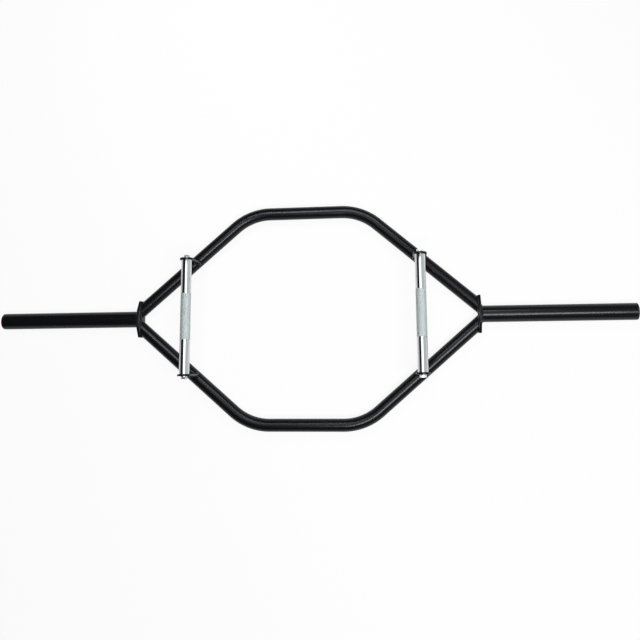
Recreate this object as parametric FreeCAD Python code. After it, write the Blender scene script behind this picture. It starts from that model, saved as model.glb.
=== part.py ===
import FreeCAD, Part
import math
import os

# Hex trap bar lying on the lower edges of its flange plates.
# X runs along the weight sleeves, Y from the front rail to the rear rail, Z up.
# The origin is on the floor, under the middle of the bar. All lengths are in millimetres.

# Weight sleeves, the tubes that the plates slide on to
sleeve_diameter = 49.0
sleeve_wall = 5.0
sleeve_length = 439.0
sleeve_root_bevel = 4.0

# End caps, pushed into the open ends of the sleeves
cap_rim_thickness = 5.0
cap_rim_inset = 0.3
cap_rim_chamfer = 1.5
cap_skirt_length = 20.0
cap_skirt_wall = 2.5
cap_fin_height = 1.2
cap_fin_width = 1.5
cap_fin_count = 2

# Hexagonal frame of two bent tubes
frame_length = 1040.0
frame_width = 640.0
rail_length = 344.0
frame_tube_diameter = 38.0
frame_tube_wall = 4.0
bend_radius = 165.0
tube_root_gap = 1.0

# Flange plates between the frame tubes and the sleeves
flange_thickness = 6.0
flange_margin = 5.5
flange_flat_share = 0.46
flange_end_share = 0.42

# Raised handles
handle_length = 336.0
handle_diameter = 30.0
handle_wall = 3.5
handle_height = 95.0
handle_end_chamfer = 0.8

# Bracket plates that carry the handles above the frame
bracket_width = 40.0
bracket_thickness = 6.0

# Bolts, washers and threaded plugs that hold the handles
bolt_diameter = 10.0
bolt_head_flats = 17.0
bolt_head_height = 6.4
bolt_thread_reach = 24.0
washer_diameter = 20.0
washer_thickness = 2.0
plug_length = 34.0

# Legs of the fillet welds, along each of the two faces that they join
flange_weld_leg = 5.0
bracket_weld_leg = 4.5

# Clearances
weld_gap = 0.2
plug_gap = 0.1
thread_gap = 0.1
cap_gap = 0.1
bolt_hole_gap = 0.5

# Sizes that follow from the ones above
sleeve_radius = sleeve_diameter / 2
tube_radius = frame_tube_diameter / 2
handle_radius = handle_diameter / 2
bolt_radius = bolt_diameter / 2

flange_height = max(sleeve_diameter, frame_tube_diameter) + 2 * flange_margin
frame_level = flange_height / 2
handle_level = frame_level + handle_height
flange_outer = frame_length / 2
flange_inner = flange_outer - flange_thickness
sleeve_end = flange_outer + sleeve_length

# The slanted stretch of a frame tube runs from the corner of its rail to the flange plate, where
# the two tubes stand side by side with the root gap between them
rail_offset = frame_width / 2
corner_offset = rail_length / 2
slant_run = flange_inner - corner_offset
slant_rise = rail_offset - tube_root_gap / 2
slant = math.atan2(slant_rise, slant_run) - math.asin(tube_radius / math.hypot(slant_run, slant_rise))
tube_half_footprint = tube_radius / math.cos(slant)
root_offset = tube_root_gap / 2 + tube_half_footprint
bend_tangent = bend_radius * math.tan(slant / 2)

bracket_inner = handle_length / 2
bracket_outer = bracket_inner + bracket_thickness
bracket_middle = (bracket_inner + bracket_outer) / 2
washer_outer = bracket_outer + washer_thickness
plug_inner = bracket_inner - plug_length


def slant_x(y):
    """Place along X of the rear tube's centreline at a given Y, on the right slanted stretch."""
    return flange_inner - (y - root_offset) / math.tan(slant)


handle_offset = slant_x(bracket_middle)

along_x = FreeCAD.Vector(1, 0, 0)
along_y = FreeCAD.Vector(0, 1, 0)
along_z = FreeCAD.Vector(0, 0, 1)
along_slant = FreeCAD.Vector(-math.cos(slant), math.sin(slant), 0)
middle = FreeCAD.Vector(0, 0, 0)


def point(x, y, z):
    return FreeCAD.Vector(x, y, z)


def rod(radius, start, end):
    """Solid cylinder between two points."""
    axis = end - start
    return Part.makeCylinder(radius, axis.Length, start, axis)


def revolved(points, start, axis):
    """Solid made by turning a closed outline about an axis."""
    outline = Part.makePolygon(points + points[:1])
    return Part.Face(outline).revolve(start, axis, 360)


def turned_on_sleeve_axis(profile):
    """Solid turned about the sleeves' axis from an outline of radii and places along X."""
    points = [point(x, 0, frame_level + radius) for radius, x in profile]
    return revolved(points, point(0, 0, frame_level), along_x)


def tube_path():
    """Centreline of the rear frame tube, longer than the tube at both ends."""
    overrun = along_slant * -frame_tube_diameter
    right_corner = point(corner_offset, rail_offset, frame_level)
    right_end = point(flange_inner, root_offset, frame_level) + overrun
    bend_start = right_corner - along_slant * bend_tangent
    bend_end = right_corner - along_x * bend_tangent
    bend_centre = bend_end - along_y * bend_radius
    half_turn = slant / 2
    bend_middle = bend_centre + point(math.sin(half_turn), math.cos(half_turn), 0) * bend_radius

    def left(p):
        return point(-p.x, p.y, p.z)

    edges = [
        Part.LineSegment(right_end, bend_start).toShape(),
        Part.Arc(bend_start, bend_middle, bend_end).toShape(),
        Part.LineSegment(bend_end, left(bend_end)).toShape(),
        Part.Arc(left(bend_end), left(bend_middle), left(bend_start)).toShape(),
        Part.LineSegment(left(bend_start), left(right_end)).toShape(),
    ]
    return Part.Wire(edges), right_end


def bent_rod(radius):
    """Round bar that follows the rear frame tube's centreline."""
    path, start = tube_path()
    section = Part.Wire([Part.Circle(start, along_slant, radius).toShape()])
    return path.makePipe(Part.Face(section))


def rear_frame_tube():
    """Bent tube whose two ends are cut flat to stand on the flange plates."""
    tube = bent_rod(tube_radius).cut(bent_rod(tube_radius - frame_tube_wall))
    corner = point(-flange_inner, 0, frame_level - frame_tube_diameter)
    span = Part.makeBox(2 * flange_inner, frame_width, 2 * frame_tube_diameter, corner)
    return tube.common(span)


def slanted_rod(radius):
    """Round bar on the centreline of the rear tube's right slanted stretch, past both its ends."""
    root = point(flange_inner, root_offset, frame_level)
    corner = point(corner_offset, rail_offset, frame_level)
    return rod(radius, root - along_slant * frame_tube_diameter, corner)


def flange_plate():
    """Plate with its corners cut off, full height where the sleeve stands."""
    half_width = root_offset + tube_half_footprint + flange_margin
    half_flat = half_width * flange_flat_share
    half_height = flange_height / 2
    half_end = half_height * flange_end_share
    quarter = [(half_flat, half_height), (half_width, half_end)]
    rear_half = quarter + [(y, -z) for y, z in reversed(quarter)]
    outline = rear_half + [(-y, -z) for y, z in rear_half]
    points = [point(flange_inner, y, frame_level + z) for y, z in outline]
    face = Part.Face(Part.makePolygon(points + points[:1]))
    return face.extrude(along_x * flange_thickness)


def sleeve():
    """Tube that the weight plates slide on to, bevelled at its root for the weld."""
    bore_radius = sleeve_radius - sleeve_wall
    profile = [
        (bore_radius, flange_outer),
        (sleeve_radius - sleeve_root_bevel, flange_outer),
        (sleeve_radius, flange_outer + sleeve_root_bevel),
        (sleeve_radius, sleeve_end),
        (bore_radius, sleeve_end),
    ]
    return turned_on_sleeve_axis(profile)


def sleeve_cap():
    """Tube plug: a rim that covers the sleeve's end, and a hollow skirt with grip fins."""
    rim_radius = sleeve_radius - cap_rim_inset
    fin_radius = sleeve_radius - sleeve_wall - cap_gap
    skirt_radius = fin_radius - cap_fin_height
    hollow_radius = skirt_radius - cap_skirt_wall
    rim_face = sleeve_end + cap_rim_thickness
    skirt_end = sleeve_end - cap_skirt_length
    pitch = cap_skirt_length / (cap_fin_count + 1)
    profile = [
        (hollow_radius, sleeve_end),
        (hollow_radius, skirt_end),
        (skirt_radius, skirt_end),
    ]
    for fin in range(cap_fin_count):
        place = skirt_end + pitch * (fin + 1)
        profile += [
            (skirt_radius, place - cap_fin_width / 2),
            (fin_radius, place),
            (skirt_radius, place + cap_fin_width / 2),
        ]
    profile += [
        (skirt_radius, sleeve_end),
        (rim_radius, sleeve_end),
        (rim_radius, rim_face - cap_rim_chamfer),
        (rim_radius - cap_rim_chamfer, rim_face),
        (0, rim_face),
        (0, sleeve_end),
    ]
    return turned_on_sleeve_axis(profile)


def handle():
    """Straight tube between the two bracket plates, with its sharp ends broken."""
    start = point(handle_offset, -bracket_inner, handle_level)
    end = point(handle_offset, bracket_inner, handle_level)
    bar = rod(handle_radius, start, end)
    bar = bar.makeChamfer(handle_end_chamfer, [e for e in bar.Edges if e.Closed])
    return bar.cut(rod(handle_radius - handle_wall, start, end))


def bracket():
    """Upright plate, round at the top, with its foot cut to sit on the slanted tube."""
    half = bracket_width / 2
    foot_left = point(handle_offset - half, bracket_inner, frame_level)
    foot_right = point(handle_offset + half, bracket_inner, frame_level)
    ear_left = point(handle_offset - half, bracket_inner, handle_level)
    ear_right = point(handle_offset + half, bracket_inner, handle_level)
    crown = point(handle_offset, bracket_inner, handle_level + half)
    outline = Part.Wire([
        Part.LineSegment(foot_left, foot_right).toShape(),
        Part.LineSegment(foot_right, ear_right).toShape(),
        Part.Arc(ear_right, crown, ear_left).toShape(),
        Part.LineSegment(ear_left, foot_left).toShape(),
    ])
    plate = Part.Face(outline).extrude(along_y * bracket_thickness)
    plate = plate.cut(slanted_rod(tube_radius + weld_gap))
    return plate.cut(bolt_axis_rod(bolt_radius + bolt_hole_gap, bracket_inner, bracket_outer))


def bolt_axis_rod(radius, start_y, end_y):
    """Solid cylinder on the handle's axis between two places along Y."""
    start = point(handle_offset, start_y, handle_level)
    return rod(radius, start, point(handle_offset, end_y, handle_level))


def plug():
    """Threaded plug fixed in the handle's end, flush with it."""
    body = bolt_axis_rod(handle_radius - handle_wall - plug_gap, plug_inner, bracket_inner)
    return body.cut(bolt_axis_rod(bolt_radius + thread_gap, plug_inner, bracket_inner))


def washer():
    ring = bolt_axis_rod(washer_diameter / 2, bracket_outer, washer_outer)
    return ring.cut(bolt_axis_rod(bolt_radius + bolt_hole_gap, bracket_outer, washer_outer))


def bolt():
    """Hexagon bolt with the corners of its head turned down on the outer side."""
    corner_radius = bolt_head_flats / 2 / math.cos(math.pi / 6)
    head_end = washer_outer + bolt_head_height
    corner_drop = (corner_radius - bolt_head_flats / 2) * math.tan(math.pi / 6)
    corners = []
    for index in range(6):
        turn = index * math.pi / 3
        corners.append(point(
            handle_offset + corner_radius * math.cos(turn),
            washer_outer,
            handle_level + corner_radius * math.sin(turn),
        ))
    prism = Part.Face(Part.makePolygon(corners + corners[:1])).extrude(along_y * bolt_head_height)
    profile = [
        (0, washer_outer),
        (corner_radius, washer_outer),
        (corner_radius, head_end - corner_drop),
        (bolt_head_flats / 2, head_end),
        (0, head_end),
    ]
    axis_start = point(handle_offset, 0, handle_level)
    turned = revolved([point(handle_offset + r, y, handle_level) for r, y in profile], axis_start, along_y)
    shank = bolt_axis_rod(bolt_radius, bracket_inner - bolt_thread_reach, washer_outer)
    return prism.common(turned).fuse(shank).removeSplitter()


def sleeve_weld():
    """Ring of weld that fills the sleeve's bevel and spreads on the flange plate."""
    profile = [
        (sleeve_radius - sleeve_root_bevel + weld_gap, flange_outer),
        (sleeve_radius + flange_weld_leg, flange_outer),
        (sleeve_radius, flange_outer + sleeve_root_bevel - weld_gap),
    ]
    return turned_on_sleeve_axis(profile)


def mirrored(shape, side, end):
    """A piece modelled at the right rear, carried to the given side and end of the bar."""
    if side < 0:
        shape = shape.mirror(middle, along_x)
    if end < 0:
        shape = shape.mirror(middle, along_y)
    return shape


def tube_fillet(centre, across, half_run, climb, leg):
    """Weld round the slanted tube where a plane crosses it, from the plane up to a point along the tube."""

    def outline(place, margin):
        major = place + across * (half_run + margin)
        minor = place + along_z * (tube_radius + margin)
        return Part.Wire([Part.Ellipse(major, minor, place).toShape()])

    return Part.makeLoft([outline(centre, leg), outline(centre + climb, 0)], True, True)


def frame_weld():
    """Weld round the feet of both frame tubes on the flange plate, filling the crotch between."""
    foot = point(flange_inner, root_offset, frame_level)
    climb = along_slant * (flange_weld_leg / math.cos(slant))
    fillet = tube_fillet(foot, along_y, tube_half_footprint, climb, flange_weld_leg)
    tube = slanted_rod(tube_radius + weld_gap)
    both = fillet.fuse(mirrored(fillet, 1, -1))
    return both.cut([tube, mirrored(tube, 1, -1)])


def bracket_weld():
    """Two welds along the foot of a bracket plate, one on each of its faces."""
    tube = slanted_rod(tube_radius + weld_gap)
    half_run = tube_radius / math.sin(slant)
    reach = along_slant * (bracket_weld_leg / math.sin(slant))
    fillets = []
    for face, climb in ((bracket_inner, -reach), (bracket_outer, reach)):
        foot = point(slant_x(face), face, frame_level)
        fillet = tube_fillet(foot, along_x, half_run, climb, bracket_weld_leg)
        corner = point(handle_offset - bracket_width / 2, face + min(climb.y, 0), frame_level)
        span = Part.makeBox(bracket_width, abs(climb.y), handle_height, corner)
        fillets.append(fillet.common(span).cut(tube))
    return Part.makeCompound(fillets)


def export(name, shape):
    shape.exportStep("parts/" + name + ".step")


os.makedirs("parts", exist_ok=True)

sides = (("left", -1), ("right", 1))
ends = (("front", -1), ("rear", 1))

for end_name, end in ends:
    export(end_name + "_frame_tube", mirrored(rear_frame_tube(), 1, end))

for side_name, side in sides:
    export(side_name + "_flange_plate", mirrored(flange_plate(), side, 1))
    export(side_name + "_sleeve", mirrored(sleeve(), side, 1))
    export(side_name + "_sleeve_cap", mirrored(sleeve_cap(), side, 1))
    export(side_name + "_handle", mirrored(handle(), side, 1))
    export(side_name + "_sleeve_weld", mirrored(sleeve_weld(), side, 1))
    export(side_name + "_frame_weld", mirrored(frame_weld(), side, 1))
    for end_name, end in ends:
        place = side_name + "_" + end_name
        export(place + "_bracket", mirrored(bracket(), side, end))
        export(place + "_bracket_weld", mirrored(bracket_weld(), side, end))
        export(place + "_handle_plug", mirrored(plug(), side, end))
        export(place + "_handle_bolt", mirrored(bolt(), side, end))
        export(place + "_handle_washer", mirrored(washer(), side, end))
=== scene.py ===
"""Dresses the hex trap bar: painted tube and plate, knurled chrome handles, plated bolts, rippled welds."""

import math

import bmesh
import bpy
from mathutils import Matrix, Vector


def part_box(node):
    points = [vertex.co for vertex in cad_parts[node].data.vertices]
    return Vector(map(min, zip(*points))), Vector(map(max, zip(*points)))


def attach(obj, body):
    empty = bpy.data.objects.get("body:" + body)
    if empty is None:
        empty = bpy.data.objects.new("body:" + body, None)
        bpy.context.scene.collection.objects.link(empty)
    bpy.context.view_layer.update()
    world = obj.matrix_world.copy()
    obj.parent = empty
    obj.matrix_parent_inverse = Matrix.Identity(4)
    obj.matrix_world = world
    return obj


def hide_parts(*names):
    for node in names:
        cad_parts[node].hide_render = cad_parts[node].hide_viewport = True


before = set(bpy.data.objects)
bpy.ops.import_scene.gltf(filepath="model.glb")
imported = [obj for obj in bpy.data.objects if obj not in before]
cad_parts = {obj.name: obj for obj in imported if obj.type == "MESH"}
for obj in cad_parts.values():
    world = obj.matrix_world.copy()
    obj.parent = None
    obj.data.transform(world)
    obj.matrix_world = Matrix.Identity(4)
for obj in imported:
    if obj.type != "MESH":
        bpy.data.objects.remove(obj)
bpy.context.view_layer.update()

bl_info = {
    "name": "Hex Trap Bar",
    "version": (1, 0, 0),
    "blender": (4, 5, 0),
    "location": "View3D > Sidebar > Trap Bar",
    "description": "Builds the painted frame, knurled handles, fasteners and welds of a hex trap bar",
    "category": "Object",
}

# Names of the bar's sides and ends, with the sign that carries a right rear piece there
SIDES = (("left", -1), ("right", 1))
ENDS = (("front", -1), ("rear", 1))
CORNERS = [(side + "_" + end, x_sign, y_sign) for side, x_sign in SIDES for end, y_sign in ENDS]

MILLIMETRE = 0.001
MERGE_DISTANCE = 0.00001
ALONG_X = Vector((1, 0, 0))
ALONG_Y = Vector((0, 1, 0))
ALONG_Z = Vector((0, 0, 1))

# How finely shapes are turned and rounded, and the angles past which an edge shows as sharp
TURNED_STEPS = 96
BEVEL_SEGMENTS = 3
SHARP_ANGLE = math.radians(30)
HEAD_SHARP_ANGLE = math.radians(22)
BEAD_SHARP_ANGLE = math.radians(60)


def node_box(node):
    """Lowest and highest corner of a CAD node, to a tenth of a millimetre."""
    return [Vector([round(value, 4) for value in corner]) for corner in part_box(node)]


# Places and sizes that the frame gives, in metres
tube_low, tube_high = node_box("rear_frame_tube")
TUBE_RADIUS = (tube_high.z - tube_low.z) / 2
FRAME_LEVEL = (tube_high.z + tube_low.z) / 2
RAIL_OFFSET = tube_high.y - TUBE_RADIUS
HALF_ROOT_GAP = tube_low.y
FLANGE_INNER = tube_high.x

flange_low, flange_high = node_box("right_flange_plate")
FLANGE_OUTER = flange_high.x

sleeve_low, sleeve_high = node_box("right_sleeve")
SLEEVE_RADIUS = (sleeve_high.z - sleeve_low.z) / 2
SLEEVE_END = sleeve_high.x

cap_low, cap_high = node_box("right_sleeve_cap")
CAP_RADIUS = (cap_high.z - cap_low.z) / 2

handle_low, handle_high = node_box("right_handle")
HANDLE_RADIUS = (handle_high.z - handle_low.z) / 2
HANDLE_CENTRE = (handle_low + handle_high) / 2

bracket_low, bracket_high = node_box("right_rear_bracket")
washer_low, washer_high = node_box("right_rear_handle_washer")
bolt_low, bolt_high = node_box("right_rear_handle_bolt")

# Sizes inside the pieces, which no box shows
RAIL_LENGTH = 0.344
BEND_RADIUS = 0.165
SLEEVE_WALL = 0.005
SLEEVE_ROOT_BEVEL = 0.004
FLANGE_FLAT_SHARE = 0.46
FLANGE_END_SHARE = 0.42
BOLT_RADIUS = 0.005

# The slanted stretch of a frame tube, from the flange plate towards the rail
slant_run = FLANGE_INNER - RAIL_LENGTH / 2
slant_rise = RAIL_OFFSET - HALF_ROOT_GAP
SLANT = math.atan2(slant_rise, slant_run) - math.asin(TUBE_RADIUS / math.hypot(slant_run, slant_rise))
ALONG_SLANT = Vector((-math.cos(SLANT), math.sin(SLANT), 0))
ACROSS_SLANT = Vector((math.sin(SLANT), math.cos(SLANT), 0))
TUBE_ROOT = Vector((FLANGE_INNER, HALF_ROOT_GAP + TUBE_RADIUS / math.cos(SLANT), FRAME_LEVEL))


class TrapBarSizes(bpy.types.PropertyGroup):
    """Small sizes that a maker would choose for the finish of the bar."""

    edge_rounding: bpy.props.FloatProperty(
        name="Edge Rounding",
        description="Radius on the edges of the flange and bracket plates",
        default=0.0012,
        unit="LENGTH",
    )
    knurl_length: bpy.props.FloatProperty(
        name="Knurl Length",
        description="Length of the rough grip in the middle of a handle",
        default=0.136,
        unit="LENGTH",
    )
    knurl_depth: bpy.props.FloatProperty(
        name="Knurl Depth",
        description="Depth of the grooves between the knurl's points",
        default=0.00014,
        unit="LENGTH",
    )
    knurl_points: bpy.props.IntProperty(
        name="Knurl Points",
        description="Number of points around the handle, an even number",
        default=90,
    )
    knurl_lean: bpy.props.FloatProperty(
        name="Knurl Lean",
        description="Angle between the knurl's grooves and the handle's axis",
        default=math.radians(30),
        subtype="ANGLE",
    )
    flange_bead: bpy.props.FloatProperty(
        name="Flange Bead",
        description="Leg of the weld beads on the flange plates",
        default=0.005,
        unit="LENGTH",
    )
    bracket_bead: bpy.props.FloatProperty(
        name="Bracket Bead",
        description="Leg of the weld beads at the feet of the brackets",
        default=0.0045,
        unit="LENGTH",
    )
    ripple_pitch: bpy.props.FloatProperty(
        name="Ripple Pitch",
        description="Distance between the ripples of a weld bead",
        default=0.0026,
        unit="LENGTH",
    )


class TrapBarColours(bpy.types.PropertyGroup):
    """Colours of the bar's finishes."""

    paint: bpy.props.FloatVectorProperty(
        name="Paint",
        description="Black powder coat on the frame, plates and sleeves",
        default=(0.0048, 0.0050, 0.0057, 1.0),
        size=4,
        subtype="COLOR",
    )
    paint_sheen: bpy.props.FloatVectorProperty(
        name="Paint Sheen",
        description="Cool tint of the light that the paint reflects",
        default=(0.92, 0.96, 1.0, 1.0),
        size=4,
        subtype="COLOR",
    )
    dust: bpy.props.FloatVectorProperty(
        name="Dust",
        description="Fine dust that lies on the paint",
        default=(0.015, 0.015, 0.016, 1.0),
        size=4,
        subtype="COLOR",
    )
    plastic: bpy.props.FloatVectorProperty(
        name="Plastic",
        description="Moulded end caps of the sleeves",
        default=(0.010, 0.010, 0.010, 1.0),
        size=4,
        subtype="COLOR",
    )
    chrome: bpy.props.FloatVectorProperty(
        name="Chrome",
        description="Chrome plate of the handles",
        default=(0.665, 0.705, 0.71, 1.0),
        size=4,
        subtype="COLOR",
    )
    knurl: bpy.props.FloatVectorProperty(
        name="Knurl",
        description="Chrome plate of the knurled grips, which hands have dulled",
        default=(0.56, 0.605, 0.612, 1.0),
        size=4,
        subtype="COLOR",
    )
    zinc: bpy.props.FloatVectorProperty(
        name="Zinc",
        description="Zinc plate of the bolts and washers",
        default=(0.74, 0.75, 0.77, 1.0),
        size=4,
        subtype="COLOR",
    )
    steel: bpy.props.FloatVectorProperty(
        name="Steel",
        description="Bare steel of the threaded plugs",
        default=(0.50, 0.50, 0.51, 1.0),
        size=4,
        subtype="COLOR",
    )
    floor: bpy.props.FloatVectorProperty(
        name="Floor",
        description="White paper that the bar lies on",
        default=(0.80, 0.80, 0.80, 1.0),
        size=4,
        subtype="COLOR",
    )


# Shapes


def mirrored(bm, x_sign, y_sign):
    """Carries a right rear shape to another side and end of the bar."""
    bmesh.ops.scale(bm, vec=(x_sign, y_sign, 1), verts=bm.verts)
    return bm


def add_piece(name, bm, materials, node, sharp_angle=SHARP_ANGLE):
    """Makes an object of a finished shape, which stands for a CAD node."""
    bmesh.ops.remove_doubles(bm, verts=bm.verts, dist=MERGE_DISTANCE)
    bmesh.ops.recalc_face_normals(bm, faces=bm.faces)
    mesh = bpy.data.meshes.new(name)
    bm.to_mesh(mesh)
    bm.free()
    for material in materials:
        mesh.materials.append(material)
    mesh.shade_smooth()
    mesh.set_sharp_from_angle(angle=sharp_angle)
    piece = bpy.data.objects.new(name, mesh)
    bpy.context.scene.collection.objects.link(piece)
    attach(piece, "root")
    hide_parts(node)


def arc(radius_centre, along_centre, radius, start, end, steps):
    """Points of a round corner in an outline, between two angles in degrees."""
    points = []
    for step in range(steps + 1):
        turn = math.radians(start + (end - start) * step / steps)
        points.append((radius_centre + radius * math.cos(turn), along_centre + radius * math.sin(turn)))
    return points


def lathe(outline, centre, axis, steps, closed):
    """Turns an outline of points, each a distance from the axis and a place along it, into a solid."""
    bm = bmesh.new()
    verts = [bm.verts.new(centre + axis * along + ALONG_Z * radius) for radius, along in outline]
    for first, second in zip(verts, verts[1:]):
        bm.edges.new((first, second))
    if closed:
        bm.edges.new((verts[-1], verts[0]))
    bmesh.ops.spin(
        bm,
        geom=bm.verts[:] + bm.edges[:],
        cent=centre,
        axis=axis,
        angle=math.tau,
        steps=steps,
        use_merge=True,
    )
    return bm


def extruded(bm, edges, move):
    """Draws a loop of edges out by a vector, and returns the new loop."""
    made = bmesh.ops.extrude_edge_only(bm, edges=edges)["geom"]
    verts = [part for part in made if isinstance(part, bmesh.types.BMVert)]
    bmesh.ops.translate(bm, vec=move, verts=verts)
    drawn = set(verts)
    return [part for part in made if isinstance(part, bmesh.types.BMEdge) and drawn.issuperset(part.verts)]


def frame_tube():
    """Rear tube, drawn from the middle of its rail round the bend to the flange plate, then mirrored."""
    sides = 72
    bend_steps = 20
    tangent = BEND_RADIUS * math.tan(SLANT / 2)
    straight = RAIL_LENGTH / 2 - tangent
    bend_centre = Vector((straight, RAIL_OFFSET - BEND_RADIUS, FRAME_LEVEL))
    bm = bmesh.new()
    bmesh.ops.create_circle(bm, segments=sides, radius=TUBE_RADIUS)
    bmesh.ops.rotate(bm, cent=Vector(), matrix=Matrix.Rotation(math.pi / 2, 3, "Y"), verts=bm.verts)
    bmesh.ops.translate(bm, vec=(0, RAIL_OFFSET, FRAME_LEVEL), verts=bm.verts)
    ring = extruded(bm, bm.edges[:], ALONG_X * straight)
    bend = bmesh.ops.spin(
        bm,
        geom=ring,
        cent=bend_centre,
        axis=ALONG_Z,
        angle=-SLANT,
        steps=bend_steps,
    )
    ring = [part for part in bend["geom_last"] if isinstance(part, bmesh.types.BMEdge)]
    past_flange = slant_run / math.cos(SLANT)
    extruded(bm, ring, ALONG_SLANT * -past_flange)
    bmesh.ops.bisect_plane(
        bm,
        geom=bm.verts[:] + bm.edges[:] + bm.faces[:],
        plane_co=ALONG_X * FLANGE_INNER,
        plane_no=ALONG_X,
        clear_outer=True,
    )
    bmesh.ops.mirror(bm, geom=bm.verts[:] + bm.edges[:] + bm.faces[:], merge_dist=MERGE_DISTANCE, axis="X")
    bmesh.ops.remove_doubles(bm, verts=bm.verts, dist=MERGE_DISTANCE)
    bmesh.ops.holes_fill(bm, edges=bm.edges, sides=sides)
    return bm


def flange_plate(rounding):
    """Right flange plate, an octagon that is full height where the sleeve stands."""
    half_width = flange_high.y
    half_height = (flange_high.z - flange_low.z) / 2
    half_flat = half_width * FLANGE_FLAT_SHARE
    half_end = half_height * FLANGE_END_SHARE
    quarter = [(half_flat, half_height), (half_width, half_end)]
    rear_half = quarter + [(y, -z) for y, z in reversed(quarter)]
    outline = rear_half + [(-y, -z) for y, z in rear_half]
    bm = bmesh.new()
    face = bm.faces.new([bm.verts.new((flange_low.x, y, FRAME_LEVEL + z)) for y, z in outline])
    drawn = bmesh.ops.extrude_face_region(bm, geom=[face])["geom"]
    verts = [part for part in drawn if isinstance(part, bmesh.types.BMVert)]
    bmesh.ops.translate(bm, vec=ALONG_X * (flange_high.x - flange_low.x), verts=verts)
    bmesh.ops.bevel(
        bm,
        geom=bm.edges[:],
        offset=rounding,
        segments=BEVEL_SEGMENTS,
        profile=0.5,
        affect="EDGES",
        material=-1,
    )
    return bm


def sleeve():
    """Right sleeve, a tube with a weld bevel at its root and a broken edge at its end."""
    edge = 0.6 * MILLIMETRE
    bore = SLEEVE_RADIUS - SLEEVE_WALL
    outline = [
        (bore, FLANGE_OUTER),
        (SLEEVE_RADIUS - SLEEVE_ROOT_BEVEL, FLANGE_OUTER),
        (SLEEVE_RADIUS, FLANGE_OUTER + SLEEVE_ROOT_BEVEL),
        (SLEEVE_RADIUS, SLEEVE_END - edge),
        (SLEEVE_RADIUS - edge, SLEEVE_END),
        (bore, SLEEVE_END),
    ]
    return lathe(outline, ALONG_Z * FRAME_LEVEL, ALONG_X, steps=TURNED_STEPS, closed=True)


def sleeve_cap():
    """Right end cap: a rounded head with a slight crown, and a hollow skirt with grip fins."""
    rounding = 2.0 * MILLIMETRE
    crown = 0.5 * MILLIMETRE
    fin_height = 1.2 * MILLIMETRE
    fin_width = 1.5 * MILLIMETRE
    skirt_wall = 2.5 * MILLIMETRE
    gap = 0.1 * MILLIMETRE
    fins = 2
    rounding_steps = 6
    crown_steps = 4
    face = cap_high.x
    fin_radius = SLEEVE_RADIUS - SLEEVE_WALL - gap
    skirt_radius = fin_radius - fin_height
    hollow_radius = skirt_radius - skirt_wall
    pitch = (SLEEVE_END - cap_low.x) / (fins + 1)
    corner = CAP_RADIUS - rounding
    outline = [
        (0, SLEEVE_END),
        (hollow_radius, SLEEVE_END),
        (hollow_radius, cap_low.x),
        (skirt_radius, cap_low.x),
    ]
    for fin in range(fins):
        place = cap_low.x + pitch * (fin + 1)
        outline += [
            (skirt_radius, place - fin_width / 2),
            (fin_radius, place),
            (skirt_radius, place + fin_width / 2),
        ]
    outline += [(skirt_radius, SLEEVE_END), (CAP_RADIUS, SLEEVE_END)]
    outline += arc(corner, face - crown - rounding, rounding, 0, 90, rounding_steps)
    for step in range(1, crown_steps + 1):
        share = 1 - step / crown_steps
        outline.append((corner * share, face - crown * share ** 2))
    return lathe(outline, ALONG_Z * FRAME_LEVEL, ALONG_X, steps=TURNED_STEPS, closed=False)


def knurled_handle(sizes):
    """Right handle: points cut in crossed grooves in the middle, and smooth ends with broken edges."""
    chamfer = 0.8 * MILLIMETRE
    around = 2 * sizes.knurl_points
    step_around = math.tau * HANDLE_RADIUS / around
    rows = 2 * round(sizes.knurl_length * math.tan(sizes.knurl_lean) / step_around / 2)
    half_length = handle_high.y - HANDLE_CENTRE.y
    bm = bmesh.new()
    bmesh.ops.create_cone(
        bm,
        cap_ends=False,
        segments=around,
        radius1=HANDLE_RADIUS,
        radius2=HANDLE_RADIUS,
        depth=sizes.knurl_length,
    )
    upright = [edge for edge in bm.edges if abs(edge.verts[0].co.z - edge.verts[1].co.z) > MERGE_DISTANCE]
    bmesh.ops.subdivide_edges(bm, edges=upright, cuts=rows - 1, use_grid_fill=True)
    grooves = set()
    for vert in bm.verts:
        column = round(math.atan2(vert.co.y, vert.co.x) / math.tau * around)
        row = round((vert.co.z / sizes.knurl_length + 0.5) * rows)
        if (column + row) % 2 and 0 < row < rows:
            grooves.add(vert)
    sunk = 1 - sizes.knurl_depth / HANDLE_RADIUS
    bmesh.ops.scale(bm, vec=(sunk, sunk, 1), verts=list(grooves))
    for face in bm.faces[:]:
        low_points = [vert for vert in face.verts if vert in grooves]
        if len(low_points) == 2:
            bmesh.utils.face_split(face, *low_points)
    for end in (-1, 1):
        rim = [edge for edge in bm.edges if edge.is_boundary and edge.verts[0].co.z * end > 0]
        rim = extruded(bm, rim, ALONG_Z * end * (half_length - chamfer - sizes.knurl_length / 2))
        rim = extruded(bm, rim, ALONG_Z * end * chamfer)
        narrowed = 1 - chamfer / HANDLE_RADIUS
        verts = list({vert for edge in rim for vert in edge.verts})
        bmesh.ops.scale(bm, vec=(narrowed, narrowed, 1), verts=verts)
    bmesh.ops.holes_fill(bm, edges=bm.edges, sides=around)
    for face in bm.faces:
        face.material_index = int(abs(face.calc_center_median().z) < sizes.knurl_length / 2)
    bmesh.ops.rotate(bm, cent=Vector(), matrix=Matrix.Rotation(math.pi / 2, 3, "X"), verts=bm.verts)
    bmesh.ops.translate(bm, vec=HANDLE_CENTRE, verts=bm.verts)
    return bm


def tube_top(x, y):
    """Height of the slanted tube's upper side over a place in plan, and its normal there."""
    offset = (Vector((x, y, FRAME_LEVEL)) - TUBE_ROOT).dot(ACROSS_SLANT) / TUBE_RADIUS
    rise = math.sqrt(1 - offset ** 2)
    return FRAME_LEVEL + rise * TUBE_RADIUS, ACROSS_SLANT * offset + ALONG_Z * rise


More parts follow.
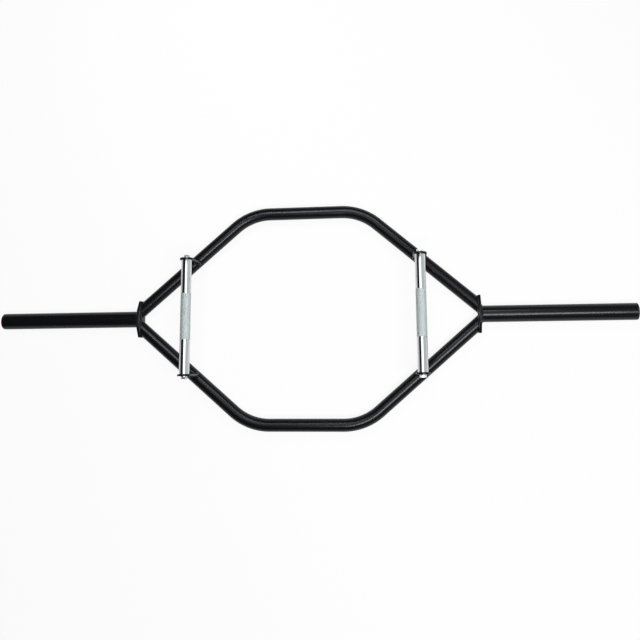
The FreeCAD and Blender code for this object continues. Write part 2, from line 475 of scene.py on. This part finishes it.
def bracket_plate(rounding):
    """Right rear bracket: a flat bar with a round top, whose foot follows the tube."""
    foot_cuts = 15
    crown_steps = 32
    sink = 0.3 * MILLIMETRE
    half = (bracket_high.x - bracket_low.x) / 2
    ear_level = bracket_high.z - half
    bm = bmesh.new()
    foot_left = bm.verts.new((bracket_low.x, bracket_low.y, FRAME_LEVEL))
    foot_right = bm.verts.new((bracket_high.x, bracket_low.y, FRAME_LEVEL))
    ear = bm.verts.new((bracket_high.x, bracket_low.y, ear_level))
    ear_centre = Vector((HANDLE_CENTRE.x, bracket_low.y, ear_level))
    crown = bmesh.ops.spin(bm, geom=[ear], cent=ear_centre, axis=ALONG_Y, angle=-math.pi, steps=crown_steps)
    last = [part for part in crown["geom_last"] if isinstance(part, bmesh.types.BMVert)][0]
    bm.edges.new((foot_right, ear))
    bm.edges.new((last, foot_left))
    foot = bm.edges.new((foot_left, foot_right))
    bmesh.ops.subdivide_edges(bm, edges=[foot], cuts=foot_cuts)
    bmesh.ops.holes_fill(bm, edges=bm.edges, sides=len(bm.edges))
    drawn = bmesh.ops.extrude_face_region(bm, geom=bm.faces[:])["geom"]
    verts = [part for part in drawn if isinstance(part, bmesh.types.BMVert)]
    bmesh.ops.translate(bm, vec=ALONG_Y * (bracket_high.y - bracket_low.y), verts=verts)
    rim = []
    for edge in bm.edges:
        first, second = [vert.co for vert in edge.verts]
        in_face = abs(first.y - second.y) < MERGE_DISTANCE
        if in_face and max(first.z, second.z) > FRAME_LEVEL + MERGE_DISTANCE:
            rim.append(edge)
    bmesh.ops.bevel(
        bm,
        geom=rim,
        offset=rounding,
        segments=BEVEL_SEGMENTS,
        profile=0.5,
        affect="EDGES",
        material=-1,
    )
    for vert in bm.verts:
        if vert.co.z < FRAME_LEVEL + MERGE_DISTANCE:
            vert.co.z = tube_top(vert.co.x, vert.co.y)[0] - sink
    return bm


def hex_bolt():
    """Right rear bolt: a chamfered hexagon head on a washer face, and a plain shank."""
    chamfer_steps = 6
    chamfer_lean = math.radians(30)
    half_side_angle = math.pi / 6
    face_height = 0.5 * MILLIMETRE
    shank_chamfer = 1.0 * MILLIMETRE
    crown_share = 0.93
    half_flats = (bolt_high.z - bolt_low.z) / 2
    corner = half_flats / math.cos(half_side_angle)
    crown = half_flats * crown_share
    drop = (corner - crown) * math.tan(chamfer_lean)
    top, seat, tip = bolt_high.y, washer_high.y, bolt_low.y
    outline = [(0, top)]
    for step in range(chamfer_steps + 1):
        share = step / chamfer_steps
        outline.append((crown + (corner - crown) * share, top - drop * share))
    outline += [
        (corner, seat + face_height),
        (crown, seat + face_height),
        (crown, seat),
        (BOLT_RADIUS, seat),
        (BOLT_RADIUS, tip + shank_chamfer),
        (BOLT_RADIUS - shank_chamfer, tip),
        (0, tip),
    ]
    axis_place = Vector((HANDLE_CENTRE.x, 0, HANDLE_CENTRE.z))
    bm = lathe(outline, axis_place, ALONG_Y, steps=TURNED_STEPS, closed=False)
    for vert in bm.verts:
        arm = vert.co - axis_place
        turn = math.atan2(arm.z, arm.x) % (2 * half_side_angle)
        limit = half_flats / math.cos(turn - half_side_angle)
        reach = math.hypot(arm.x, arm.z)
        if reach > limit:
            vert.co.x = axis_place.x + arm.x * limit / reach
            vert.co.z = axis_place.z + arm.z * limit / reach
    return bm


def washer():
    """Right rear washer, stamped, with rounded edges."""
    rounding = 0.4 * MILLIMETRE
    rounding_steps = 3
    gap = 0.5 * MILLIMETRE
    radius = (washer_high.z - washer_low.z) / 2
    outline = [(BOLT_RADIUS + gap, washer_low.y)]
    outline += arc(radius - rounding, washer_low.y + rounding, rounding, -90, 0, rounding_steps)
    outline += arc(radius - rounding, washer_high.y - rounding, rounding, 0, 90, rounding_steps)
    outline += [(BOLT_RADIUS + gap, washer_high.y)]
    axis_place = Vector((HANDLE_CENTRE.x, 0, HANDLE_CENTRE.z))
    return lathe(outline, axis_place, ALONG_Y, steps=TURNED_STEPS, closed=True)


def weld_bead(bm, station, length, leg, pitch, ends_open):
    """Adds a rippled bead. station gives a corner point and its two faces' normals at a share of the way."""
    ripple_height = 0.10
    ripple_bow = 0.45
    ripple_drift = 0.30
    swell_height = 0.05
    drift_waves = 5
    swell_waves = 3
    steps_per_ripple = 6
    arc_points = 7
    root_sink = 0.25
    half_grid = 0.5
    ripples = round(length / pitch)
    rows = arc_points + 1
    grid = bmesh.ops.create_grid(
        bm,
        x_segments=ripples * steps_per_ripple,
        y_segments=rows,
        size=half_grid,
    )
    for vert in grid["verts"]:
        along = vert.co.x + half_grid
        row = round((vert.co.y + half_grid) * rows)
        place, first_normal, second_normal = station(along)
        on_first = (second_normal - first_normal * second_normal.dot(first_normal)).normalized()
        on_second = (first_normal - second_normal * first_normal.dot(second_normal)).normalized()
        share = (row % rows) / (arc_points - 1)
        bow = ripple_bow * (1 - (2 * share - 1) ** 2)
        drift = ripple_drift * math.sin(math.tau * drift_waves * along)
        crest = abs(math.sin(math.pi * (along * ripples + bow + drift)))
        swell = swell_height * (math.sin(math.tau * swell_waves * along) - 1)
        size = leg * (1 + ripple_height * (crest - 1) + swell)
        if ends_open:
            from_end = min(along, 1 - along) * length / leg
            size *= math.sqrt(1 - (1 - min(1, from_end)) ** 2)
        if row == arc_points:
            vert.co = place - (first_normal + second_normal) * size * root_sink
        else:
            turn = share * math.pi / 2
            vert.co = place + (on_first * math.cos(turn) + on_second * math.sin(turn)) * size


def sleeve_corner(share):
    """Corner between the right flange plate's outer face and the sleeve."""
    turn = share * math.tau
    outward = Vector((0, math.cos(turn), math.sin(turn)))
    return Vector((FLANGE_OUTER, 0, FRAME_LEVEL)) + outward * SLEEVE_RADIUS, ALONG_X, outward


def tube_corner(share):
    """Corner between the right flange plate's inner face and the rear tube."""
    turn = share * math.tau
    outward = ACROSS_SLANT * math.cos(turn) + ALONG_Z * math.sin(turn)
    place = TUBE_ROOT + outward * TUBE_RADIUS
    place += ALONG_SLANT * ((FLANGE_INNER - place.x) / ALONG_SLANT.x)
    return place, -ALONG_X, outward


def foot_corner(face_place, face_normal):
    """Corner between one face of the right rear bracket and the tube, as a function of the way along it."""

    def station(share):
        x = bracket_low.x + (bracket_high.x - bracket_low.x) * share
        height, outward = tube_top(x, face_place)
        return Vector((x, face_place, height)), face_normal, outward

    return station


# Finishes

# Scales of the grain, patches and specks in waves to the metre, roughness from and to, and depth of the
# grain. The scales of the paint's patches and dust serve the plastic too
PAINT_GRAIN_SCALE = 800.0
PAINT_PATCH_SCALE = 14.0
PAINT_DUST_SCALE = 220.0
PAINT_GRAIN_DEPTH = 0.06 * MILLIMETRE
PAINT_GRAIN_STRENGTH = 0.22
PAINT_ROUGHNESS = (0.19, 0.28)
PAINT_SPECULAR = 0.25
PAINT_DUST_COVER = 0.42
PLASTIC_GRAIN_SCALE = 2200.0
PLASTIC_GRAIN_DEPTH = 0.05 * MILLIMETRE
PLASTIC_GRAIN_STRENGTH = 0.5
PLASTIC_ROUGHNESS = (0.42, 0.58)
PLASTIC_SPECULAR = 0.4
PLASTIC_DUST_COVER = 0.45
METAL_GRAIN_DEPTH = 0.02 * MILLIMETRE
METAL_PATCH_SCALE = 45.0
METAL_SPECK_SCALE = 300.0
METAL_SPECK_COVER = 0.3
METAL_DULL_SHARE = 0.8

# Lowest and highest roughness of each metal, and the scale and strength of its grain
METALS = {
    "polished_chrome": (0.03, 0.09, 900.0, 0.05),
    "knurled_chrome": (0.66, 0.76, 2500.0, 0.2),
    "turned_steel": (0.30, 0.45, 1500.0, 0.3),
    "bright_zinc_plate": (0.18, 0.34, 1200.0, 0.4),
}

# Places of the colours among the sockets of a Mix node, where they share their names with others
MIX_FIRST_COLOUR = 6
MIX_SECOND_COLOUR = 7
MIX_COLOUR_RESULT = 2


def add_node(tree, kind, inputs=None, **options):
    """Adds a shader node, sets its options, and sets or links its inputs by name or number."""
    node = tree.nodes.new("ShaderNode" + kind)
    for name, value in options.items():
        setattr(node, name, value)
    for name, value in (inputs or {}).items():
        if isinstance(value, bpy.types.NodeSocket):
            tree.links.new(value, node.inputs[name])
        else:
            node.inputs[name].default_value = value
    return node


def new_group(name, inputs, outputs):
    """Empty node group with number inputs and outputs. Returns it with its input and output nodes."""
    tree = bpy.data.node_groups.new(name, "ShaderNodeTree")
    for label, value in inputs.items():
        socket = tree.interface.new_socket(name=label, in_out="INPUT", socket_type="NodeSocketFloat")
        socket.default_value = value
    for label in outputs:
        tree.interface.new_socket(name=label, in_out="OUTPUT", socket_type="NodeSocketFloat")
    return tree, tree.nodes.new("NodeGroupInput"), tree.nodes.new("NodeGroupOutput")


def grain_group():
    """Fine bumps all over a surface, with slow patches in which they are stronger or weaker."""
    if "fine_grain" in bpy.data.node_groups:
        return bpy.data.node_groups["fine_grain"]
    scales = {"Grain Scale": PAINT_GRAIN_SCALE, "Patch Scale": PAINT_PATCH_SCALE}
    tree, start, end = new_group("fine_grain", scales, ("Height", "Patches"))
    place = add_node(tree, "TexCoord").outputs["Object"]
    grain = add_node(
        tree,
        "TexNoise",
        {"Vector": place, "Scale": start.outputs["Grain Scale"], "Detail": 2.0, "Roughness": 0.5},
    )
    patches = add_node(
        tree,
        "TexNoise",
        {"Vector": place, "Scale": start.outputs["Patch Scale"], "Detail": 3.0, "Roughness": 0.6},
    )
    tree.links.new(grain.outputs["Fac"], end.inputs["Height"])
    tree.links.new(patches.outputs["Fac"], end.inputs["Patches"])
    return tree


def specks_group():
    """Mask of small scattered specks and smears, such as dust: 0 on clean places, 1 on covered ones."""
    if "specks" in bpy.data.node_groups:
        return bpy.data.node_groups["specks"]
    defaults = {"Scale": PAINT_DUST_SCALE, "Cover": METAL_SPECK_COVER}
    tree, start, end = new_group("specks", defaults, ("Mask",))
    place = add_node(tree, "TexCoord").outputs["Object"]
    noise = add_node(
        tree,
        "TexNoise",
        {"Vector": place, "Scale": start.outputs["Scale"], "Detail": 8.0, "Roughness": 0.75},
    )
    threshold = add_node(tree, "Math", {0: 1.0, 1: start.outputs["Cover"]}, operation="SUBTRACT")
    mask = add_node(
        tree,
        "MapRange",
        {"Value": noise.outputs["Fac"], "From Min": threshold.outputs["Value"], "From Max": 1.0},
    )
    tree.links.new(mask.outputs["Result"], end.inputs["Mask"])
    return tree


def new_material(name, **fixed):
    """Material with one principled shader, whose fixed inputs are set on its own sockets."""
    material = bpy.data.materials.new(name)
    material.use_nodes = True
    tree = material.node_tree
    shader = tree.nodes["Principled BSDF"]
    for label, value in fixed.items():
        shader.inputs[label.replace("_", " ")].default_value = value
    return material, tree, shader


def rough_between(tree, shader, value, limits):
    """Lets the roughness follow a value between 0 and 1, from the lower to the higher limit."""
    low, high = limits
    span = add_node(tree, "MapRange", {"Value": value, "To Min": low, "To Max": high})
    tree.links.new(span.outputs["Result"], shader.inputs["Roughness"])


def bumped(tree, shader, height, distance, strength):
    """Raises the surface by a height."""
    bump = add_node(tree, "Bump", {"Height": height, "Distance": distance, "Strength": strength})
    tree.links.new(bump.outputs["Normal"], shader.inputs["Normal"])


def colour_between(tree, shader, mask, low, high):
    """Lets the base colour follow a mask."""
    mix = add_node(tree, "Mix", {"Factor": mask}, data_type="RGBA")
    mix.inputs[MIX_FIRST_COLOUR].default_value = low
    mix.inputs[MIX_SECOND_COLOUR].default_value = high
    tree.links.new(mix.outputs[MIX_COLOUR_RESULT], shader.inputs["Base Color"])


def powder_coat():
    """Semi-gloss black paint with the slight orange peel of a powder coat, and a little dust."""
    if "black_powder_coat" in bpy.data.materials:
        return bpy.data.materials["black_powder_coat"]
    colours = bpy.context.scene.trap_bar_colours
    material, tree, shader = new_material(
        "black_powder_coat",
        Specular_IOR_Level=PAINT_SPECULAR,
        Specular_Tint=colours.paint_sheen,
    )
    grain = add_node(tree, "Group", node_tree=grain_group())
    grain.inputs["Grain Scale"].default_value = PAINT_GRAIN_SCALE
    dust = add_node(tree, "Group", node_tree=specks_group())
    dust.inputs["Cover"].default_value = PAINT_DUST_COVER
    colour_between(tree, shader, dust.outputs["Mask"], colours.paint, colours.dust)
    rough_between(tree, shader, grain.outputs["Patches"], PAINT_ROUGHNESS)
    bumped(tree, shader, grain.outputs["Height"], PAINT_GRAIN_DEPTH, PAINT_GRAIN_STRENGTH)
    return material


def cap_plastic():
    """Satin black moulded plastic with a fine spark-eroded grain."""
    colours = bpy.context.scene.trap_bar_colours
    material, tree, shader = new_material("cap_plastic", Specular_IOR_Level=PLASTIC_SPECULAR)
    grain = add_node(tree, "Group", node_tree=grain_group())
    grain.inputs["Grain Scale"].default_value = PLASTIC_GRAIN_SCALE
    dust = add_node(tree, "Group", node_tree=specks_group())
    dust.inputs["Cover"].default_value = PLASTIC_DUST_COVER
    colour_between(tree, shader, dust.outputs["Mask"], colours.plastic, colours.dust)
    rough_between(tree, shader, grain.outputs["Patches"], PLASTIC_ROUGHNESS)
    bumped(tree, shader, grain.outputs["Height"], PLASTIC_GRAIN_DEPTH, PLASTIC_GRAIN_STRENGTH)
    return material


def plated(name, colour):
    """Bright metal whose gloss changes a little in patches, with dull specks."""
    low, high, grain_scale, strength = METALS[name]
    material, tree, shader = new_material(name, Metallic=1.0)
    grain = add_node(tree, "Group", node_tree=grain_group())
    grain.inputs["Grain Scale"].default_value = grain_scale
    grain.inputs["Patch Scale"].default_value = METAL_PATCH_SCALE
    specks = add_node(tree, "Group", node_tree=specks_group())
    specks.inputs["Scale"].default_value = METAL_SPECK_SCALE
    dull = [share * METAL_DULL_SHARE for share in colour[:3]] + [1.0]
    colour_between(tree, shader, specks.outputs["Mask"], colour, dull)
    rough_between(tree, shader, grain.outputs["Patches"], (low, high))
    bumped(tree, shader, grain.outputs["Height"], METAL_GRAIN_DEPTH, strength)
    return material


# Stage, in metres and watts

# The shares say how much of the floor's white is a glow of its own, to the camera and in reflections
FLOOR_RADIUS = 30.0
FLOOR_SEGMENTS = 96
FLOOR_ROUGHNESS = 0.9
FLOOR_GLOW_SHARE = 0.9
FLOOR_REFLECTED_SHARE = 0.2

# Place over the floor, turn in degrees, length and width, spread in degrees and power of each lamp
SOFTBOX_LEVEL = 2.4
SOFTBOXES = (
    ("front_softbox", (0.82, -0.75), 20, (1.75, 0.50), 180, 51.0),
    ("rear_softbox", (0.45, 1.75), 0, (1.2, 0.9), 180, 20.0),
    ("left_rear_softbox", (-0.4, 1.05), 0, (0.6, 0.4), 76, 4.3),
    ("top_softbox", (0.15, 0.15), 0, (1.8, 0.7), 180, 7.0),
)

CAMERA_PLACE = Vector((0.3097, -0.1583, 2.1798))
CAMERA_TURN_DEGREES = (9.0283, 6.4139, -0.4696)
CAMERA_LENS = 40.34
CAMERA_SHIFT = (-0.0137, -0.1016)

# Brightness of the room over the share of the way from its left wall to its right wall, which falls off
# to a share of itself to the front and rear, and gives way to white near the horizon
ROOM_SHARES = (
    (0.00, 0.40),
    (0.02, 0.30),
    (0.04, 0.02),
    (0.44, 0.02),
    (0.58, 0.45),
    (0.75, 0.65),
    (1.00, 0.65),
)
ROOM_DEPTH_SHARES = (0.25, 0.50)
ROOM_DEPTH_LEVEL = 0.2
ROOM_HORIZON_SHARES = (0.10, 0.14)
ROOM_HORIZON_LEVEL = 0.911


def add_floor(colour):
    """White paper, whiter to the camera than in reflections, which show more of the bar's shadow on it."""
    bm = bmesh.new()
    bmesh.ops.create_circle(bm, cap_ends=True, segments=FLOOR_SEGMENTS, radius=FLOOR_RADIUS)
    mesh = bpy.data.meshes.new("floor")
    bm.to_mesh(mesh)
    bm.free()
    floor = bpy.data.objects.new("floor", mesh)
    bpy.context.scene.collection.objects.link(floor)
    material, tree, shader = new_material(
        "white_paper",
        Base_Color=colour,
        Roughness=FLOOR_ROUGHNESS,
        Specular_IOR_Level=0.0,
    )
    glow = add_node(tree, "Emission", {"Strength": 1.0})
    rays = add_node(tree, "LightPath").outputs
    seen = add_node(tree, "Math", {0: rays["Is Camera Ray"], 1: FLOOR_GLOW_SHARE}, operation="MULTIPLY")
    bounced = add_node(
        tree,
        "Math",
        {0: rays["Is Glossy Ray"], 1: rays["Is Transmission Ray"]},
        operation="MAXIMUM",
    )
    reflected = add_node(
        tree,
        "Math",
        {0: bounced.outputs["Value"], 1: FLOOR_REFLECTED_SHARE},
        operation="MULTIPLY",
    )
    share = add_node(
        tree,
        "Math",
        {0: seen.outputs["Value"], 1: reflected.outputs["Value"]},
        operation="MAXIMUM",
    )
    mix = add_node(
        tree,
        "MixShader",
        {0: share.outputs["Value"], 1: shader.outputs["BSDF"], 2: glow.outputs["Emission"]},
    )
    tree.links.new(mix.outputs["Shader"], tree.nodes["Material Output"].inputs["Surface"])
    mesh.materials.append(material)


def add_room(scene):
    """World that is white at the horizon, dark overhead on the left, and brighter in a band to the right."""
    world = bpy.data.worlds.new("studio_room")
    world.use_nodes = True
    tree = world.node_tree
    way = add_node(tree, "TexCoord").outputs["Generated"]
    parts = add_node(tree, "SeparateXYZ", {"Vector": way})
    across = add_node(tree, "MapRange", {"Value": parts.outputs["X"], "From Min": -1.0, "From Max": 1.0})
    ramp = add_node(tree, "ValToRGB", {"Fac": across.outputs["Result"]})
    stops = ramp.color_ramp.elements
    while len(stops) < len(ROOM_SHARES):
        stops.new(1.0)
    for stop, (share, level) in zip(stops, ROOM_SHARES):
        stop.position = share
        stop.color = (level, level, level, 1.0)
    depth = add_node(tree, "Math", {0: parts.outputs["Y"]}, operation="ABSOLUTE")
    near, far = ROOM_DEPTH_SHARES
    band = add_node(
        tree,
        "MapRange",
        {
            "Value": depth.outputs["Value"],
            "From Min": near,
            "From Max": far,
            "To Min": 1.0,
            "To Max": ROOM_DEPTH_LEVEL,
        },
    )
    level = add_node(
        tree,
        "Math",
        {0: ramp.outputs["Color"], 1: band.outputs["Result"]},
        operation="MULTIPLY",
    )
    white, open_room = ROOM_HORIZON_SHARES
    height = add_node(
        tree,
        "MapRange",
        {"Value": parts.outputs["Z"], "From Min": white, "From Max": open_room},
    )
    glow = add_node(
        tree,
        "Mix",
        {"Factor": height.outputs["Result"], "A": ROOM_HORIZON_LEVEL, "B": level.outputs["Value"]},
    )
    tree.links.new(glow.outputs["Result"], tree.nodes["Background"].inputs["Strength"])
    tree.nodes["Background"].inputs["Color"].default_value = (1.0, 1.0, 1.0, 1.0)
    scene.world = world


def add_softbox(name, place, turn, size, spread, power):
    """Flat lamp over a place of the floor, which shines straight down and isn't seen itself."""
    lamp = bpy.data.lights.new(name, "AREA")
    lamp.shape = "RECTANGLE"
    lamp.size, lamp.size_y = size
    lamp.spread = math.radians(spread)
    lamp.energy = power
    softbox = bpy.data.objects.new(name, lamp)
    softbox.location = (*place, SOFTBOX_LEVEL)
    softbox.rotation_euler.z = math.radians(turn)
    softbox.visible_camera = False
    bpy.context.scene.collection.objects.link(softbox)


def add_camera(scene):
    """Camera over the front right of the bar, almost straight down."""
    data = bpy.data.cameras.new("camera")
    data.lens = CAMERA_LENS
    data.shift_x, data.shift_y = CAMERA_SHIFT
    camera = bpy.data.objects.new("camera", data)
    camera.location = CAMERA_PLACE
    camera.rotation_euler = [math.radians(turn) for turn in CAMERA_TURN_DEGREES]
    scene.collection.objects.link(camera)
    scene.camera = camera


# Operators


class TRAPBAR_OT_frame_tubes(bpy.types.Operator):
    """Bends the front and rear tubes of the hexagonal frame"""

    bl_idname = "trap_bar.frame_tubes"
    bl_label = "Frame Tubes"

    def execute(self, context):
        for end, y_sign in ENDS:
            shape = mirrored(frame_tube(), 1, y_sign)
            add_piece(end + "_tube_painted", shape, [powder_coat()], end + "_frame_tube")
        return {"FINISHED"}


class TRAPBAR_OT_plates(bpy.types.Operator):
    """Cuts the flange plates and the brackets, with rounded edges"""

    bl_idname = "trap_bar.plates"
    bl_label = "Flange Plates and Brackets"

    def execute(self, context):
        rounding = context.scene.trap_bar_sizes.edge_rounding
        for side, x_sign in SIDES:
            shape = mirrored(flange_plate(rounding), x_sign, 1)
            node = side + "_flange_plate"
            add_piece(side + "_flange_painted", shape, [powder_coat()], node)
        for corner, x_sign, y_sign in CORNERS:
            shape = mirrored(bracket_plate(rounding), x_sign, y_sign)
            node = corner + "_bracket"
            add_piece(corner + "_bracket_painted", shape, [powder_coat()], node)
        return {"FINISHED"}


class TRAPBAR_OT_sleeves(bpy.types.Operator):
    """Turns the weight sleeves and their end caps"""

    bl_idname = "trap_bar.sleeves"
    bl_label = "Sleeves and Caps"

    def execute(self, context):
        plastic = cap_plastic()
        for side, x_sign in SIDES:
            shape = mirrored(sleeve(), x_sign, 1)
            add_piece(side + "_sleeve_painted", shape, [powder_coat()], side + "_sleeve")
            shape = mirrored(sleeve_cap(), x_sign, 1)
            add_piece(side + "_cap_moulded", shape, [plastic], side + "_sleeve_cap")
        return {"FINISHED"}


class TRAPBAR_OT_handles(bpy.types.Operator):
    """Turns and knurls the chrome handles, and finishes the threaded plugs inside them"""

    bl_idname = "trap_bar.handles"
    bl_label = "Handles"

    def execute(self, context):
        colours = context.scene.trap_bar_colours
        smooth = plated("polished_chrome", colours.chrome)
        rough = plated("knurled_chrome", colours.knurl)
        steel = plated("turned_steel", colours.steel)
        for side, x_sign in SIDES:
            shape = mirrored(knurled_handle(context.scene.trap_bar_sizes), x_sign, 1)
            add_piece(side + "_handle_knurled", shape, [smooth, rough], side + "_handle")
        for corner, _, _ in CORNERS:
            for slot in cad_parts[corner + "_handle_plug"].material_slots:
                slot.material = steel
        return {"FINISHED"}


class TRAPBAR_OT_bolts(bpy.types.Operator):
    """Forges the handle bolts and stamps their washers"""

    bl_idname = "trap_bar.bolts"
    bl_label = "Bolts and Washers"

    def execute(self, context):
        zinc = plated("bright_zinc_plate", context.scene.trap_bar_colours.zinc)
        for corner, x_sign, y_sign in CORNERS:
            shape = mirrored(hex_bolt(), x_sign, y_sign)
            node = corner + "_handle_bolt"
            add_piece(corner + "_bolt_plated", shape, [zinc], node, HEAD_SHARP_ANGLE)
            shape = mirrored(washer(), x_sign, y_sign)
            add_piece(corner + "_washer_plated", shape, [zinc], corner + "_handle_washer")
        return {"FINISHED"}


class TRAPBAR_OT_welds(bpy.types.Operator):
    """Lays the weld beads round the sleeves, the feet of the tubes and the feet of the brackets"""

    bl_idname = "trap_bar.welds"
    bl_label = "Weld Beads"

    def execute(self, context):
        # The curved foot of a bracket is about a tenth longer than the bracket is wide
        foot_curve_share = 1.1
        sizes = context.scene.trap_bar_sizes
        pitch = sizes.ripple_pitch
        paint = [powder_coat()]
        round_sleeve = math.tau * SLEEVE_RADIUS
        round_tube = math.pi * TUBE_RADIUS * (1 + 1 / math.cos(SLANT))
        along_foot = (bracket_high.x - bracket_low.x) * foot_curve_share
        for side, x_sign in SIDES:
            bm = bmesh.new()
            weld_bead(bm, sleeve_corner, round_sleeve, sizes.flange_bead, pitch, ends_open=False)
            shape = mirrored(bm, x_sign, 1)
            node = side + "_sleeve_weld"
            add_piece(side + "_sleeve_bead", shape, paint, node, BEAD_SHARP_ANGLE)
            bm = bmesh.new()
            weld_bead(bm, tube_corner, round_tube, sizes.flange_bead, pitch, ends_open=False)
            bmesh.ops.mirror(bm, geom=bm.verts[:] + bm.edges[:] + bm.faces[:], axis="Y")
            shape = mirrored(bm, x_sign, 1)
            node = side + "_frame_weld"
            add_piece(side + "_frame_bead", shape, paint, node, BEAD_SHARP_ANGLE)
        for corner, x_sign, y_sign in CORNERS:
            bm = bmesh.new()
            for place, normal in ((bracket_low.y, -ALONG_Y), (bracket_high.y, ALONG_Y)):
                station = foot_corner(place, normal)
                weld_bead(bm, station, along_foot, sizes.bracket_bead, pitch, ends_open=True)
            shape = mirrored(bm, x_sign, y_sign)
            node = corner + "_bracket_weld"
            add_piece(corner + "_bracket_bead", shape, paint, node, BEAD_SHARP_ANGLE)
        return {"FINISHED"}


class TRAPBAR_OT_stage(bpy.types.Operator):
    """Lays the white floor, sets the studio light and places the camera"""

    bl_idname = "trap_bar.stage"
    bl_label = "Floor, Light and Camera"

    def execute(self, context):
        add_floor(context.scene.trap_bar_colours.floor)
        add_room(context.scene)
        for name, place, turn, size, spread, power in SOFTBOXES:
            add_softbox(name, place, turn, size, spread, power)
        add_camera(context.scene)
        context.scene.view_settings.view_transform = "Standard"
        return {"FINISHED"}


STEPS = (
    TRAPBAR_OT_frame_tubes,
    TRAPBAR_OT_plates,
    TRAPBAR_OT_sleeves,
    TRAPBAR_OT_handles,
    TRAPBAR_OT_bolts,
    TRAPBAR_OT_welds,
    TRAPBAR_OT_stage,
)


class TRAPBAR_PT_panel(bpy.types.Panel):
    """Sidebar panel with the bar's sizes, colours and steps"""

    bl_idname = "TRAPBAR_PT_panel"
    bl_label = "Trap Bar"
    bl_space_type = "VIEW_3D"
    bl_region_type = "UI"
    bl_category = "Trap Bar"

    def draw(self, context):
        for group in (context.scene.trap_bar_sizes, context.scene.trap_bar_colours):
            column = self.layout.column()
            for name in group.bl_rna.properties.keys():
                if name not in ("rna_type", "name"):
                    column.prop(group, name)
        for step in STEPS:
            self.layout.operator(step.bl_idname)


CLASSES = (TrapBarSizes, TrapBarColours) + STEPS + (TRAPBAR_PT_panel,)


def register():
    for item in CLASSES:
        bpy.utils.register_class(item)
    bpy.types.Scene.trap_bar_sizes = bpy.props.PointerProperty(type=TrapBarSizes)
    bpy.types.Scene.trap_bar_colours = bpy.props.PointerProperty(type=TrapBarColours)


def unregister():
    del bpy.types.Scene.trap_bar_colours
    del bpy.types.Scene.trap_bar_sizes
    for item in reversed(CLASSES):
        bpy.utils.unregister_class(item)


def main():
    register()
    bpy.ops.trap_bar.frame_tubes()
    bpy.ops.trap_bar.plates()
    bpy.ops.trap_bar.sleeves()
    bpy.ops.trap_bar.handles()
    bpy.ops.trap_bar.bolts()
    bpy.ops.trap_bar.welds()
    bpy.ops.trap_bar.stage()


if __name__ == "__main__":
    main()
